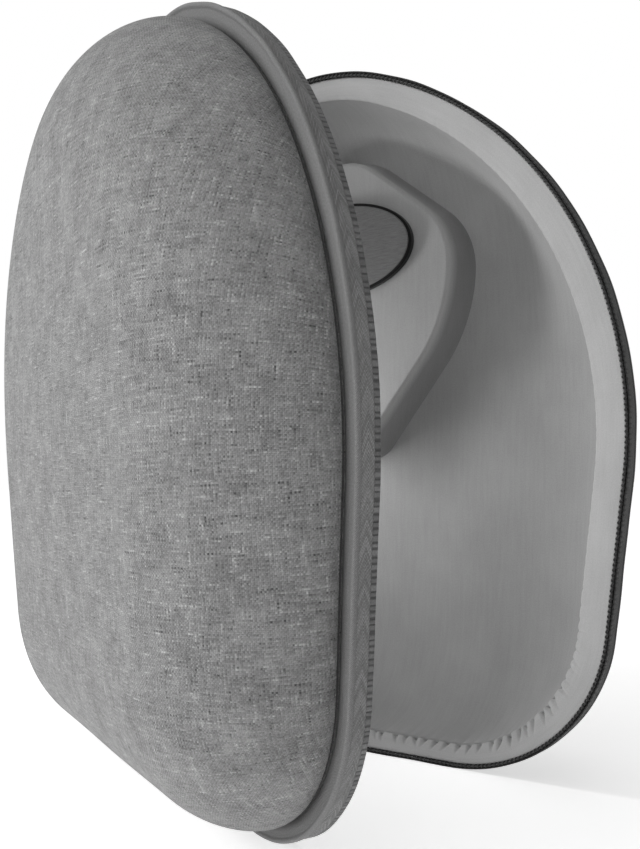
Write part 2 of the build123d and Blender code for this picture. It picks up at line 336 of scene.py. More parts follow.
class Paint:
    """A material's nodes, with short calls to add and join them."""

    def __init__(self, name, roughness, specular=0.3, sheen=0.0):
        self.material = bpy.data.materials.new(name)
        self.material.use_nodes = True
        self.tree = self.material.node_tree
        self.shader = self.tree.nodes["Principled BSDF"]
        self.shader.inputs["Roughness"].default_value = roughness
        self.shader.inputs["Specular IOR Level"].default_value = specular
        self.shader.inputs["Sheen Weight"].default_value = sheen
        self.shader.inputs["Sheen Roughness"].default_value = 0.5

    def add(self, kind, inputs=(), output=0, **settings):
        node = self.tree.nodes.new(kind)
        for key, value in settings.items():
            setattr(node, key, value)
        for key, value in dict(inputs).items():
            self.put(node.inputs[key], value)
        return node.outputs[output]

    def put(self, socket, value):
        if isinstance(value, bpy.types.NodeSocket):
            self.tree.links.new(value, socket)
        else:
            socket.default_value = value

    def math(self, operation, first, second=0.0):
        return self.add("ShaderNodeMath", {0: first, 1: second}, operation=operation)

    def times(self, first, second):
        return self.math("MULTIPLY", first, second)

    def ridge(self, run):
        """Rounded ridge over each unit of a run."""
        return self.math("SINE", self.times(self.math("FRACT", run), pi))

    def cloth(self):
        """Cloth coordinates u and v, in millimetres."""
        uv = self.add("ShaderNodeUVMap", uv_map="cloth")
        parts = self.tree.nodes.new("ShaderNodeSeparateXYZ")
        self.tree.links.new(uv, parts.inputs[0])
        return parts.outputs[0], parts.outputs[1]

    def place(self):
        """Position on the object, in millimetres."""
        where = self.add("ShaderNodeTexCoord", output=3)
        return self.add("ShaderNodeVectorMath", {0: where, 3: 1 / MM}, operation="SCALE")

    def vector(self, x, y, z=0.0):
        return self.add("ShaderNodeCombineXYZ", {0: x, 1: y, 2: z})

    def noise(self, vector, scale, detail=2.0, roughness=0.5):
        return self.add("ShaderNodeTexNoise", {"Vector": vector, "Scale": scale, "Detail": detail,
                                               "Roughness": roughness})

    def between(self, value, low, high, to_low=0.0, to_high=1.0):
        """A value's range from low to high, mapped to another range and clamped."""
        return self.add("ShaderNodeMapRange", {0: value, 1: low, 2: high, 3: to_low, 4: to_high})

    def mix(self, share, first, second):
        return self.add("ShaderNodeMix", {0: share, 6: first, 7: second}, output=2, data_type="RGBA")

    def blend_numbers(self, share, first, second):
        return self.add("ShaderNodeMix", {0: share, 2: first, 3: second}, data_type="FLOAT")

    def grey(self, value):
        return self.add("ShaderNodeCombineColor", {0: value, 1: value, 2: value})

    def colour(self, value):
        self.put(self.shader.inputs["Base Color"], value)

    def bump(self, height, distance, strength):
        """Bump of a height, with its distance in millimetres."""
        inputs = {"Height": height, "Distance": distance * MM, "Strength": strength}
        self.put(self.shader.inputs["Normal"], self.add("ShaderNodeBump", inputs))


def melange_canvas():
    """Plain weave of slubby threads, each dark or light along its length."""
    paint = Paint("melange_canvas", 0.9, 0.15, 0.2)
    u, v = paint.cloth()
    pitch = 0.46
    wander = paint.noise(paint.vector(u, v), 0.1, 2.0)
    shift = paint.between(wander, 0.0, 1.0, -0.5, 0.5)
    across = paint.math("DIVIDE", paint.math("ADD", u, shift), pitch)
    up = paint.math("DIVIDE", paint.math("ADD", v, shift), pitch)
    warp = paint.math("FLOOR", across)
    weft = paint.math("FLOOR", up)
    over = paint.math("FLOORED_MODULO", paint.math("ADD", warp, weft), 2.0)
    warp_tone = paint.noise(paint.vector(paint.times(warp, 3.71),
                                         paint.times(v, 0.16)), 1.0, 5.0, 0.75)
    weft_tone = paint.noise(paint.vector(paint.times(u, 0.16),
                                         paint.times(weft, 3.71), 9.0), 1.0, 4.0, 0.75)
    tone = paint.blend_numbers(over, warp_tone, weft_tone)
    speck = paint.add("ShaderNodeTexWhiteNoise", {"Vector": paint.vector(warp, weft)},
                      noise_dimensions="2D")
    tone = paint.math("ADD", paint.between(tone, 0.3, 0.7), paint.times(speck, 0.16))
    # Slubs: thick light threads that come up for a centimetre or so, and a few dark ones
    light = paint.math("MAXIMUM", paint.between(warp_tone, 0.6, 0.68), paint.between(weft_tone, 0.6, 0.68))
    dark = paint.math("MAXIMUM", paint.between(warp_tone, 0.38, 0.31), paint.between(weft_tone, 0.38, 0.31))
    tone = paint.math("ADD", tone, paint.times(light, 0.35))
    tone = paint.math("SUBTRACT", tone, paint.times(dark, 0.18))
    cloud = paint.noise(paint.vector(u, v), 0.09, 4.0, 0.6)
    tone = paint.math("ADD", tone, paint.between(cloud, 0.3, 0.7, -0.16, 0.12))
    value = paint.between(tone, 0.0, 1.4, 0.075, 0.52)
    paint.colour(paint.grey(value))
    height = paint.blend_numbers(over, paint.ridge(across), paint.ridge(up))
    height = paint.times(height, paint.between(speck, 0.0, 1.0, 0.6, 1.0))
    height = paint.math("ADD", height, paint.times(light, 0.5))
    paint.bump(height, 0.16, 0.9)
    return paint.material


def brushed_knit(name, tone, rib_strength, painted_shade=None):
    """Brushed knit: fine ribs under a short nap, with a little colour drift.

    The last argument, if given, is (start, end, share) and paints shade: its colour falls from start to
    end, both y in millimetres, to a share of itself, standing in for the shadow down the divider's sides.
    """
    paint = Paint(name, 0.95, 0.1, 0.35)
    u, v = paint.cloth()
    place = paint.vector(u, v)
    nap = paint.noise(place, 2.2, 4.0, 0.7)
    drift = paint.noise(place, 0.05, 3.0)
    streak = paint.noise(paint.vector(paint.times(u, 0.9), paint.times(v, 0.06)),
                         1.0, 3.0, 0.6)
    value = paint.math("ADD", paint.between(nap, 0.25, 0.75, tone * 0.88, tone * 1.12),
                       paint.between(drift, 0.3, 0.7, -0.05 * tone, 0.05 * tone))
    value = paint.math("ADD", value, paint.between(streak, 0.3, 0.7, -0.04 * tone, 0.04 * tone))
    # Painted shade: the colour darkens from start to end along y, in place of shadow on the sides.
    if painted_shade:
        start, end, share = painted_shade
        depth = paint.add("ShaderNodeSeparateXYZ", {0: paint.place()}, output=1)
        value = paint.times(value, paint.between(depth, start, end, 1.0, share))
    paint.colour(paint.grey(value))
    rib = paint.math("SINE", paint.times(u, 2 * pi / 0.7))
    height = paint.math("ADD", nap, paint.times(rib, rib_strength))
    paint.bump(height, 0.12, 0.5)
    return paint.material


def herringbone_tape(name, tone):
    """Stitched coil strip, herringbone middle and rolled edge. u runs from the coil to the roll."""
    paint = Paint(name, 0.8, 0.25, 0.15)
    u, v = paint.cloth()
    strip_end = 1.75
    roll_start = 4.75
    spine = (strip_end + roll_start) / 2
    slant = 2.4
    pitch = 0.85
    side = paint.math("ABSOLUTE", paint.math("SUBTRACT", u, spine))
    run = paint.math("DIVIDE", paint.math("ADD", v, paint.times(side, slant)), pitch)
    twill = paint.ridge(run)
    thread = paint.add("ShaderNodeTexWhiteNoise", {"W": paint.math("FLOOR", run)}, noise_dimensions="1D")
    uneven = paint.noise(paint.vector(0.0, v), 0.35, 2.0)
    stitch_run = paint.math("ADD", paint.math("DIVIDE", v, 1.5), paint.times(uneven, 1.6))
    stitch = paint.between(paint.ridge(stitch_run), 0.25, 0.8)
    stitch_tone = paint.add("ShaderNodeTexWhiteNoise", {"W": paint.math("FLOOR", stitch_run)},
                            noise_dimensions="1D")
    seam = paint.between(paint.math("ABSOLUTE", paint.math("SUBTRACT", u, strip_end)), 0.0, 0.22)
    nap = paint.noise(paint.vector(u, v), 2.4, 4.0, 0.7)
    roll_twill = paint.ridge(paint.math("DIVIDE", paint.math("ADD", v, u), 0.5))
    body_value = paint.times(paint.between(twill, 0.0, 1.0, 0.07, 0.26),
                             paint.between(thread, 0.0, 1.0, 0.8, 1.2))
    strip_value = paint.times(paint.between(stitch, 0.0, 1.0, 0.07, 0.15),
                              paint.between(stitch_tone, 0.0, 1.0, 0.75, 1.15))
    roll_value = paint.between(roll_twill, 0.0, 1.0, 0.13, 0.19)
    in_roll = paint.between(u, roll_start, roll_start + 0.15)
    in_strip = paint.between(u, strip_end, strip_end - 0.1)
    value = paint.blend_numbers(in_roll, body_value, roll_value)
    value = paint.blend_numbers(in_strip, value, strip_value)
    value = paint.times(value, paint.between(seam, 0.0, 1.0, 0.65, 1.0))
    value = paint.times(value, paint.between(nap, 0.3, 0.7, 0.72 * tone, 1.28 * tone))
    paint.colour(paint.grey(value))
    height = paint.blend_numbers(in_roll, twill, paint.times(roll_twill, 0.4))
    height = paint.blend_numbers(in_strip, height, stitch)
    paint.bump(height, 0.14, 0.9)
    return paint.material


def nylon_coil():
    """Dyed nylon filament with a soft gloss."""
    paint = Paint("nylon_coil", 0.38, 0.5)
    dust = paint.noise(paint.place(), 1.5, 3.0)
    paint.colour(paint.grey(paint.between(dust, 0.35, 0.75, 0.012, 0.04)))
    paint.bump(dust, 0.03, 0.4)
    return paint.material


def woven_strip(name, tone):
    """Ribbed webbing."""
    paint = Paint(name, 0.85, 0.2, 0.2)
    u, v = paint.cloth()
    across = paint.math("SINE", paint.times(v, 2 * pi / 0.9))
    along = paint.math("SINE", paint.times(u, 2 * pi / 0.6))
    weave = paint.times(across, along)
    nap = paint.noise(paint.vector(u, v), 2.5, 3.0)
    value = paint.times(paint.between(weave, -1.0, 1.0, tone * 0.6, tone * 1.3),
                        paint.between(nap, 0.25, 0.75, 0.8, 1.2))
    paint.colour(paint.grey(value))
    paint.bump(weave, 0.12, 0.8)
    return paint.material


def loop_pile():
    """Brushed loop fabric, its nap combed sideways."""
    paint = Paint("loop_pile", 0.9, 0.15, 0.35)
    u, v = paint.cloth()
    comb = paint.noise(paint.vector(paint.times(u, 0.25), paint.times(v, 2.4)),
                       1.0, 4.0, 0.65)
    fuzz = paint.noise(paint.vector(u, v), 3.5, 4.0, 0.8)
    value = paint.between(comb, 0.3, 0.7, 0.12, 0.195)
    value = paint.times(value, paint.between(fuzz, 0.25, 0.75, 0.8, 1.2))
    paint.colour(paint.grey(value))
    paint.bump(paint.math("ADD", comb, fuzz), 0.2, 0.7)
    return paint.material


def felt(name, tone):
    """Pressed felt or foam skin."""
    paint = Paint(name, 0.95, 0.1, 0.2)
    grain = paint.noise(paint.place(), 1.8, 4.0, 0.7)
    paint.colour(paint.grey(paint.between(grain, 0.3, 0.7, tone * 0.7, tone * 1.3)))
    paint.bump(grain, 0.15, 0.6)
    return paint.material


def lacquered_metal():
    """Satin black lacquer on zinc, rubbed through a little on its edges."""
    paint = Paint("lacquered_metal", 0.35, 0.5)
    paint.shader.inputs["Metallic"].default_value = 0.6
    sharp = paint.add("ShaderNodeNewGeometry", output=7)
    scuff = paint.noise(paint.place(), 0.9, 4.0, 0.7)
    worn = paint.times(paint.between(sharp, 0.52, 0.58), paint.between(scuff, 0.45, 0.6))
    paint.colour(paint.mix(worn, (0.03, 0.03, 0.032, 1), (0.42, 0.4, 0.38, 1)))
    paint.put(paint.shader.inputs["Roughness"], paint.between(scuff, 0.3, 0.7, 0.28, 0.48))
    paint.bump(scuff, 0.02, 0.3)
    return paint.material


canvas_paint = melange_canvas()
lining_paint = brushed_knit("knit_lining", 0.36, 0.12)
# The band is the lining's knit painted lighter than the lining: painted light on the band, which faces the
# lamps.
band_knit_painted_light = brushed_knit("knit_band_painted_light", 0.5, 0.08)
# The divider's knit is painted darker down its sides below the face: painted shade.
divider_knit_painted_shade = brushed_knit("knit_divider_painted_shade", 0.37, 0.1, (17.0, 22.0, 0.55))
# The back half's tape is the lid's tape painted much darker: painted shade.
tape_paints = {
    "lid": herringbone_tape("herringbone_tape", 1.15),
    "back": herringbone_tape("shaded_tape", 0.35),
}
coil_paint = nylon_coil()
webbing_paint = woven_strip("hinge_webbing", 0.09)
pile_paint = loop_pile()
edge_paint = felt("patch_edge", 0.008)
foam_paint = felt("shell_foam", 0.05)
metal_paint = lacquered_metal()


# ---------------- shells

def hem(distance):
    """Inset and level of the band's inner edge round the rim: wide and deep at the sides."""
    sideways = np.abs(rim(distance)[2]) ** hem_power
    return hem_inset + hem_inset_gain * sideways, hem_level + hem_level_gain * sideways


def wall_top(distance):
    """Inset and level where the lining comes out from under the hem, deeper where the hem is gathered."""
    hem_in, hem_lv = hem(distance)
    tuck = np.clip(gather(distance) * 1.6, 0, 1)
    return hem_in - 0.2 + 0.7 * tuck, hem_lv + 0.15 + 0.4 * tuck


def wall_squareness(distance):
    """Power of the wall's rounded profile: nearly an ellipse at the top and bottom, squarer at the sides."""
    return 2.2 + 0.5 * np.abs(rim(distance)[2])


def drape(x, z):
    """Slow unevenness of hand-laid cloth, within one millimetre either way."""
    return (np.sin(x / 17.0 + 0.6) * np.cos(z / 23.0) + 0.6 * np.sin((x + 1.7 * z) / 31.0 + 1.1)
            + 0.4 * np.cos((z - 1.3 * x) / 13.0)) / 2.0


def add_flat(side, distance, rings, cloth, inset, count, flat_level):
    """Adds rings that shrink from an inset outline to the face's middle, and that middle.

    flat_level gives their level from x, z and the share of the way to the middle."""
    x, z, nx, nz = rim(distance)
    x, z = x - nx * inset, z - nz * inset
    middle = np.array([0.0, (z.max() + z.min()) / 2])
    share = (np.arange(1, count) / count)[:, None]
    x = x * (1 - share) + middle[0] * share
    z = z * (1 - share) + middle[1] * share
    flat = on_half(side, x, z, flat_level(x, z, share))
    centre = on_half(side, *middle, flat_level(*middle, 1.0))
    cloth = np.concatenate([cloth, np.stack([x, z], -1)])
    return (np.concatenate([rings, flat]), centre), (cloth, middle)


def outer_rings(side, distance, offset, arc_count, flat_count, first_level, tuck=0.0):
    """Rings of the shell's crowned outside, an offset within it, its middle and its cloth coordinates.

    first_level is where it starts under the tape, and tuck is how far it is drawn in there."""
    depth = case_depth - tape_end
    angle = np.linspace(0, pi / 2, arc_count)
    normal_length = np.hypot(depth * np.cos(angle), round_inset * np.sin(angle))
    inset = shell_inset + round_inset * (1 - np.cos(angle)) + offset * depth * np.cos(angle) / normal_length
    level = tape_end + depth * np.sin(angle) - offset * round_inset * np.sin(angle) / normal_length
    inset = np.concatenate([inset[:1], inset])
    level = np.concatenate([[first_level], level])
    inset = inset + tuck * np.exp(-np.clip(level - tape_end, 0, None) / 2.4)
    run = run_along(inset, level)
    to_flat = run[-1] - run
    x, z, nx, nz = rim(distance)
    ring_x = x - nx * inset[:, None]
    ring_z = z - nz * inset[:, None]
    uneven = drape(ring_x, ring_z) * outer_unevenness * np.clip((level[:, None] - tape_end) / 12, 0, 1)
    rings = on_half(side, ring_x, ring_z, level[:, None] + uneven)
    cloth = np.stack([ring_x[-1] + nx * to_flat[:, None], ring_z[-1] + nz * to_flat[:, None]], -1)

    def flat_level(x, z, share):
        rise = crown * share * share * (3 - 2 * share)
        return case_depth - offset + rise + drape(x, z) * outer_unevenness

    return add_flat(side, distance, rings, cloth, inset[-1], flat_count, flat_level)


# Gathers of the band: where each fold lies round the rim and how deep it is
fold_count = int(perimeter / fold_spacing)
fold_place = (np.arange(fold_count) + rng.uniform(-0.24, 0.24, fold_count)) * perimeter / fold_count
fold_slant = rng.uniform(-1.6, 1.6, fold_count)
fold_depth = rng.uniform(0.6, 1.0, fold_count)


def gather(distance):
    """How strongly the cloth is gathered: most at the bottom corners, some along the bottom."""
    x, z = rim(distance)[:2]
    corner = np.exp(-((np.abs(x) - 78.0) / 17.0) ** 2) * (z < 60)
    bottom = 0.55 * np.exp(-(z / 6.0) ** 2)
    return np.clip(np.maximum(corner, bottom) + 0.05, 0, 1)


def folds(distance, toward_hem):
    """Depth of the gathers, in shares of the deepest.

    toward_hem is 0 on the band's open part and 1 at its hem."""
    distance = np.asarray(distance)[None, :]
    toward_hem = np.asarray(toward_hem)[:, None]
    width = 0.3 + 0.4 * toward_hem
    total = np.zeros(np.broadcast_shapes(distance.shape, toward_hem.shape))
    for place, slant, depth in zip(fold_place, fold_slant, fold_depth):
        offset = distance - place - slant * (1 - toward_hem)
        offset = (offset + perimeter / 2) % perimeter - perimeter / 2
        near = np.abs(offset) < 4
        total += np.where(near, depth * np.exp(-(offset / width) ** 2), 0)
    return total * gather(distance[0])[None, :] * toward_hem ** 1.3


def inner_rings(side, distance, offset, arc_count, flat_count):
    """Rings of the lining, an offset behind its face, its middle and its cloth coordinates."""
    start_inset, start_level = wall_top(distance)
    floor = case_depth - layer_stack
    flat_inset = shell_inset + round_inset
    angle = np.linspace(0, pi / 2, arc_count)[:, None]
    power = 2 / wall_squareness(distance)
    inset = flat_inset - (flat_inset - start_inset) * np.cos(angle) ** power
    level = start_level + (floor - start_level) * np.sin(angle) ** power
    ahead_inset, ahead_level = np.gradient(inset, axis=0), np.gradient(level, axis=0)
    length = np.hypot(ahead_inset, ahead_level)
    inset = inset - offset * ahead_level / length
    level = level + offset * ahead_inset / length
    fade = np.exp(-(np.arange(arc_count) / arc_count) * 9)
    pull = folds(distance, np.full(arc_count, 1.0)) * fade[:, None] * 0.8
    inset = inset - pull
    run = run_along(inset, level)
    to_flat = run[-1] - run
    x, z, nx, nz = rim(distance)
    ring_x = x - nx * inset
    ring_z = z - nz * inset
    uneven = drape(ring_x + lining_shift, ring_z) * lining_unevenness * np.sin(angle)
    rings = on_half(side, ring_x, ring_z, level + uneven)
    edge_x, edge_z = x - nx * flat_inset, z - nz * flat_inset
    cloth = np.stack([edge_x + nx * to_flat, edge_z + nz * to_flat], -1)

    def flat_level(x, z, share):
        return floor + offset + drape(x + lining_shift, z) * lining_unevenness

    return add_flat(side, distance, rings, cloth, flat_inset, flat_count, flat_level)


def outer_fabric(side):
    """Canvas over the shell, tucked in under the tape."""
    distance = stations(480)
    outside, outside_uv = outer_rings(side, distance, 0.0, 44, 14, tape_end - 0.5, 1.5)
    inside, inside_uv = outer_rings(side, distance, 1.0, 44, 14, tape_end - 0.5, 1.5)
    piece = closed_bowl(side + "_outer_shell_fabric", outside, inside, outside_uv, inside_uv)
    finish_piece(piece, side, canvas_paint, "outer_fabric", side + "_outer_fabric")


def lining(side):
    """Knit over the inside, from under the band's hem."""
    distance = stations(960)
    face, face_uv = inner_rings(side, distance, 0.0, 40, 12)
    behind, behind_uv = inner_rings(side, distance, 0.9, 40, 12)
    piece = closed_bowl(side + "_knit_lining", behind, face, behind_uv, face_uv)
    finish_piece(piece, side, lining_paint, "knit_lining", side + "_lining")


def foam_shell(side):
    """Moulded foam between the outer fabric and the lining, hidden by both."""
    distance = stations(240)
    outside, outside_uv = outer_rings(side, distance, 1.25, 16, 5, tape_end + 0.3)
    inside, inside_uv = inner_rings(side, distance, 1.2, 16, 5)
    piece = closed_bowl(side + "_moulded_foam", outside, inside, outside_uv, inside_uv)
    finish_piece(piece, side, foam_paint, "shell_foam", side + "_foam_shell")


def rim_band(side):
    """Band from the coil to its gathered hem, with a rolled lip."""
    distance = stations(1500)
    hem_in, hem_lv = hem(distance)
    slope_in, slope_lv = hem_in - band_start_inset, hem_lv - band_start_level
    length = np.hypot(slope_in, slope_lv)
    out_in, out_lv = slope_lv / length, -slope_in / length
    # Section: share of the way to the hem, and height over the slope
    top = [(share, 0.45 * sin(pi * share) + 0.1) for share in np.linspace(0, 0.96, 22)]
    lip = [(1.0, 0.0), (1.025, -0.45), (1.01, -0.85), (0.97, -1.05)]
    under = [(share, -0.95) for share in np.linspace(0.85, 0.06, 6)]
    section = np.array(top + lip + under + [(0.0, -0.5)])
    share, height = section[:, 0], section[:, 1]
    visible = np.clip(np.where(np.arange(len(share)) < len(top) + 3, (share - 0.42) / 0.55, 0), 0, 1)
    dent = folds(distance, visible)
    swell = (gather(distance)[None, :] * visible[:, None] ** 2) * 0.5
    height = height[:, None] + swell - dent * 2.3
    share = share[:, None] - dent * 1.3 / length + swell / length
    inset = band_start_inset + slope_in * share + out_in * height
    level = band_start_level + slope_lv * share + out_lv * height
    x, z, nx, nz = rim(distance)
    points = on_half(side, x - nx * inset, z - nz * inset, level)
    band_width = 12
    run = run_along(section[:, 0] * band_width, section[:, 1])
    piece = swept(side + "_gathered_band", points, run, distance)
    finish_piece(piece, side, band_knit_painted_light, "rim_binding", side + "_rim_binding")


# ---------------- zipper

def zipper_tape(side):
    """Tape standing as a collar, with a rolled edge and a fold under the shell."""
    distance = stations(720)
    # Inset and level of each point: the face, the roll, the fold and the back
    section = np.array([
        (0.28, 0.72), (0.08, 0.8), (0.0, 1.1), (0.0, 1.6), (0.0, 2.3), (0.0, 3.0), (0.0, 3.6), (0.0, 4.2),
        (0.0, 4.8), (0.01, 5.3),
        (0.08, 5.5), (-0.08, 5.62), (-0.2, 5.85), (-0.24, 6.1), (-0.18, 6.45), (-0.02, 6.72), (0.3, 6.88),
        (0.7, 6.84), (1.0, 6.62), (1.15, 6.4), (1.5, 6.3), (2.6, 6.3), (5.0, 6.3), (5.0, 5.8), (2.4, 5.8),
        (1.1, 5.75), (1.0, 5.3), (1.0, 4.2), (1.0, 3.0), (1.0, 2.3), (0.7, 2.0), (0.42, 1.7), (0.4, 1.0),
    ])
    ripple = 0.05 * np.sin(distance / 4.7) + 0.04 * np.sin(distance / 2.9 + 1)
    points = along_rim(side, distance[None, :], section[:, :1] + ripple[None, :], section[:, 1:])
    piece = swept(side + "_woven_tape", points, run_along(*section.T), distance)
    finish_piece(piece, side, tape_paints[side], "zipper_tape", side + "_zipper_tape")


def rim_distance_at(z_value):
    """Distance round the rim to the point on the left side at a height."""
    left = np.linspace(perimeter / 2, perimeter, 20001)
    heights = rim(left)[1]
    return float(np.interp(-z_value, -heights, left))


hinge_top_at = rim_distance_at(hinge_high)
hinge_bottom_at = rim_distance_at(hinge_low)


def tube(centre, across, upward, radius, sides):
    """Points of a round tube: centre is stations by 3, across and upward its unit directions."""
    turn = np.arange(sides) * 2 * pi / sides
    return (centre[None] + radius * (np.cos(turn)[:, None, None] * across[None]
                                     + np.sin(turn)[:, None, None] * upward[None]))


def zipper_coil(side):
    """Coiled filament sewn along the tape's edge, round a cord, open along the hinge."""
    start, stop = hinge_bottom_at + stop_overlap, perimeter + hinge_top_at - stop_overlap
    turns = int((stop - start) / coil_pitch)
    steps = turns * 12 + 1
    distance = np.linspace(start, stop, steps)
    turn = np.linspace(0, 2 * pi * turns, steps)
    centre = along_rim(side, distance, cord_inset + coil_half_width * np.cos(turn),
                       cord_level + coil_half_depth * np.sin(turn))
    ahead = unit(np.gradient(centre, axis=0))
    outward = unit(centre - along_rim(side, distance, cord_inset, cord_level))
    across = unit(np.cross(ahead, outward))
    outward = np.cross(across, ahead)
    filament = tube(centre, across, outward, filament_radius, 6)
    coil = swept(side + "_coil_filament", filament, np.arange(6) * 0.3, distance, ends=True)
    finish_piece(coil, side, coil_paint, "zipper_coil", side + "_zipper_coil")
    distance = np.linspace(start, stop, 500)
    turn = (np.arange(8) * 2 * pi / 8)[:, None]
    cord = along_rim(side, distance[None, :], cord_inset + cord_radius * np.cos(turn),
                     cord_level + cord_radius * np.sin(turn))
    cord = swept(side + "_coil_cord", cord, np.arange(8) * 0.23, distance, ends=True)
    finish_piece(cord, side, webbing_paint, "zipper_coil", side + "_zipper_coil")


def zipper_stops(side):
    """Thread wrapped round each end of the coil."""
    half = stop_length / 2
    for name, middle in (("upper", hinge_top_at + half), ("lower", hinge_bottom_at - half)):
        distance = np.linspace(middle - half, middle + half, 49)
        wraps = 0.07 * np.abs(np.sin((distance - middle) * pi / 0.4))
        turn = np.arange(16) * 2 * pi / 16
        square = np.abs(np.cos(turn)) ** 6 + np.abs(np.sin(turn)) ** 6
        reach = 0.8 / square ** (1 / 6)
        inset = 0.86 + (reach * np.cos(turn))[:, None] * (1 + wraps)
        level = cord_level + (reach * 0.92 * np.sin(turn))[:, None] * (1 + wraps)
        points = along_rim(side, distance[None, :], inset, level)
        piece = swept(f"{side}_{name}_coil_stop", points, np.arange(16) * 0.35, distance, ends=True)
        finish_piece(piece, side, webbing_paint, "zipper_coil", side + "_zipper_stops")


# ---------------- hinge strips

def hinge_strip(name, route, thickness, paint, slot, *nodes):
    """Cloth strip along a route of (side, inset, level) points that crosses from the back half to the lid."""
    columns = 121
    distance = np.linspace(hinge_top_at, hinge_bottom_at, columns)
    line = np.stack([along_rim(side, distance, inset, level) for side, inset, level in route])
    for _ in range(2):
        smooth = line.copy()
        smooth[1:-1] = (line[:-2] + 2 * line[1:-1] + line[2:]) / 4
        line = smooth
    normal = unit(np.cross(np.gradient(line, axis=0), np.gradient(line, axis=1)))
    ripple = 0.12 * np.sin(distance / 2.3)[None, :, None] * normal
    front = line + normal * thickness / 2 + ripple
    behind = line - normal * thickness / 2 + ripple
    points = np.concatenate([front, behind[::-1]])
    run = run_along(*points[:, columns // 2].T)
    piece = swept(name, points, run, distance, ends=True)
    piece.data.materials.append(paint)
    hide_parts(*nodes)
    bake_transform(piece)


def hinge_cover():
    """Outer strip, on the outside of both tapes."""
    levels = (6.2, 5.4, 4.6, 3.8, 3.0, 2.2, 1.5, 0.9, 0.4)
    route = [("back", -0.55, level) for level in levels]
    route += [("lid", -0.55, level) for level in reversed(levels)]
    hinge_strip("hinge_cover_strip", route, 0.8, webbing_paint, "hinge_webbing",
                "back_hinge_cover_leaf", "lid_hinge_cover_leaf")


def hinge_lining():
    """Inner strip, down the slope of both bands."""
    slope = [(2.4 + 7.5 * share, 0.6 + 7.6 * share) for share in (0.72, 0.6, 0.48, 0.36, 0.24, 0.12, 0.0)]
    slope.append((1.4, 0.35))
    route = [("back", inset, level) for inset, level in slope]
    route += [("lid", inset, level) for inset, level in reversed(slope)]
    hinge_strip("hinge_lining_strip", route, 0.5, lining_paint, "knit_lining",
                "back_hinge_lining_leaf", "lid_hinge_lining_leaf")


# ---------------- divider

def tangent_angle(first, second):
    """Direction of the outward normal of the line that touches two circles, going clockwise."""
    across = second[0] - first[0]
    up = second[1] - first[1]
    gap = (across ** 2 + up ** 2) ** 0.5
    return atan2(up, across) + acos((first[2] - second[2]) / gap)


def divider_edge(spacing):
    """Points and outward normals round the divider's face, clockwise from the middle of the top."""
    top = (0.0, divider_top_z - divider_top_radius, divider_top_radius)
    upper = (divider_half_width - divider_upper_radius, divider_widest_z, divider_upper_radius)
    lower = (divider_half_width - divider_lower_radius, divider_widest_z, divider_lower_radius)
    tip = (0.0, divider_bottom_z + divider_tip_radius, divider_tip_radius)
    high = tangent_angle(top, upper)
    low = tangent_angle(lower, tip)

    def at(circle, angle):
        return circle[0] + circle[2] * cos(angle), circle[1] + circle[2] * sin(angle)

    half = []
    for circle, start, stop in ((top, pi / 2, high), (upper, high, 0.0), (lower, 0.0, low),
                                (tip, low, -pi / 2)):
        if half:
            # The line that joins the last arc to this one
            first = at(circle, start)
            gap = ((first[0] - previous[0]) ** 2 + (first[1] - previous[1]) ** 2) ** 0.5
            steps = int(gap / spacing)
            for step in range(1, steps):
                share = step / steps
                half.append((previous[0] + (first[0] - previous[0]) * share,
                             previous[1] + (first[1] - previous[1]) * share, cos(start), sin(start)))
        steps = max(2, int(abs(stop - start) * circle[2] / spacing))
        for step in range(steps + (circle is tip)):
            angle = start + (stop - start) * step / steps
            half.append((*at(circle, angle), cos(angle), sin(angle)))
        previous = at(circle, stop)
    half = np.array(half)
    left = half[-2:0:-1] * np.array([-1, 1, -1, 1])
    return np.concatenate([half, left]).T


def lining_level(x, z):
    """Level of the back lining's face at points inside the outline."""
    distance = stations(1600)
    rim_x, rim_z = rim(distance)[:2]
    start_in, start_lv = wall_top(distance)
    floor = case_depth - layer_stack
    flat_inset = shell_inset + round_inset
    gaps = np.hypot(x[:, None] - rim_x[None], z[:, None] - rim_z[None])
    nearest = gaps.argmin(1)
    inset = np.minimum(gaps.min(1), flat_inset)
    start_in, start_lv = start_in[nearest], start_lv[nearest]
    power = wall_squareness(distance)[nearest]
    across = (flat_inset - inset) / (flat_inset - start_in)
    return start_lv + (floor - start_lv) * np.clip(1 - across ** power, 0, 1) ** (1 / power)


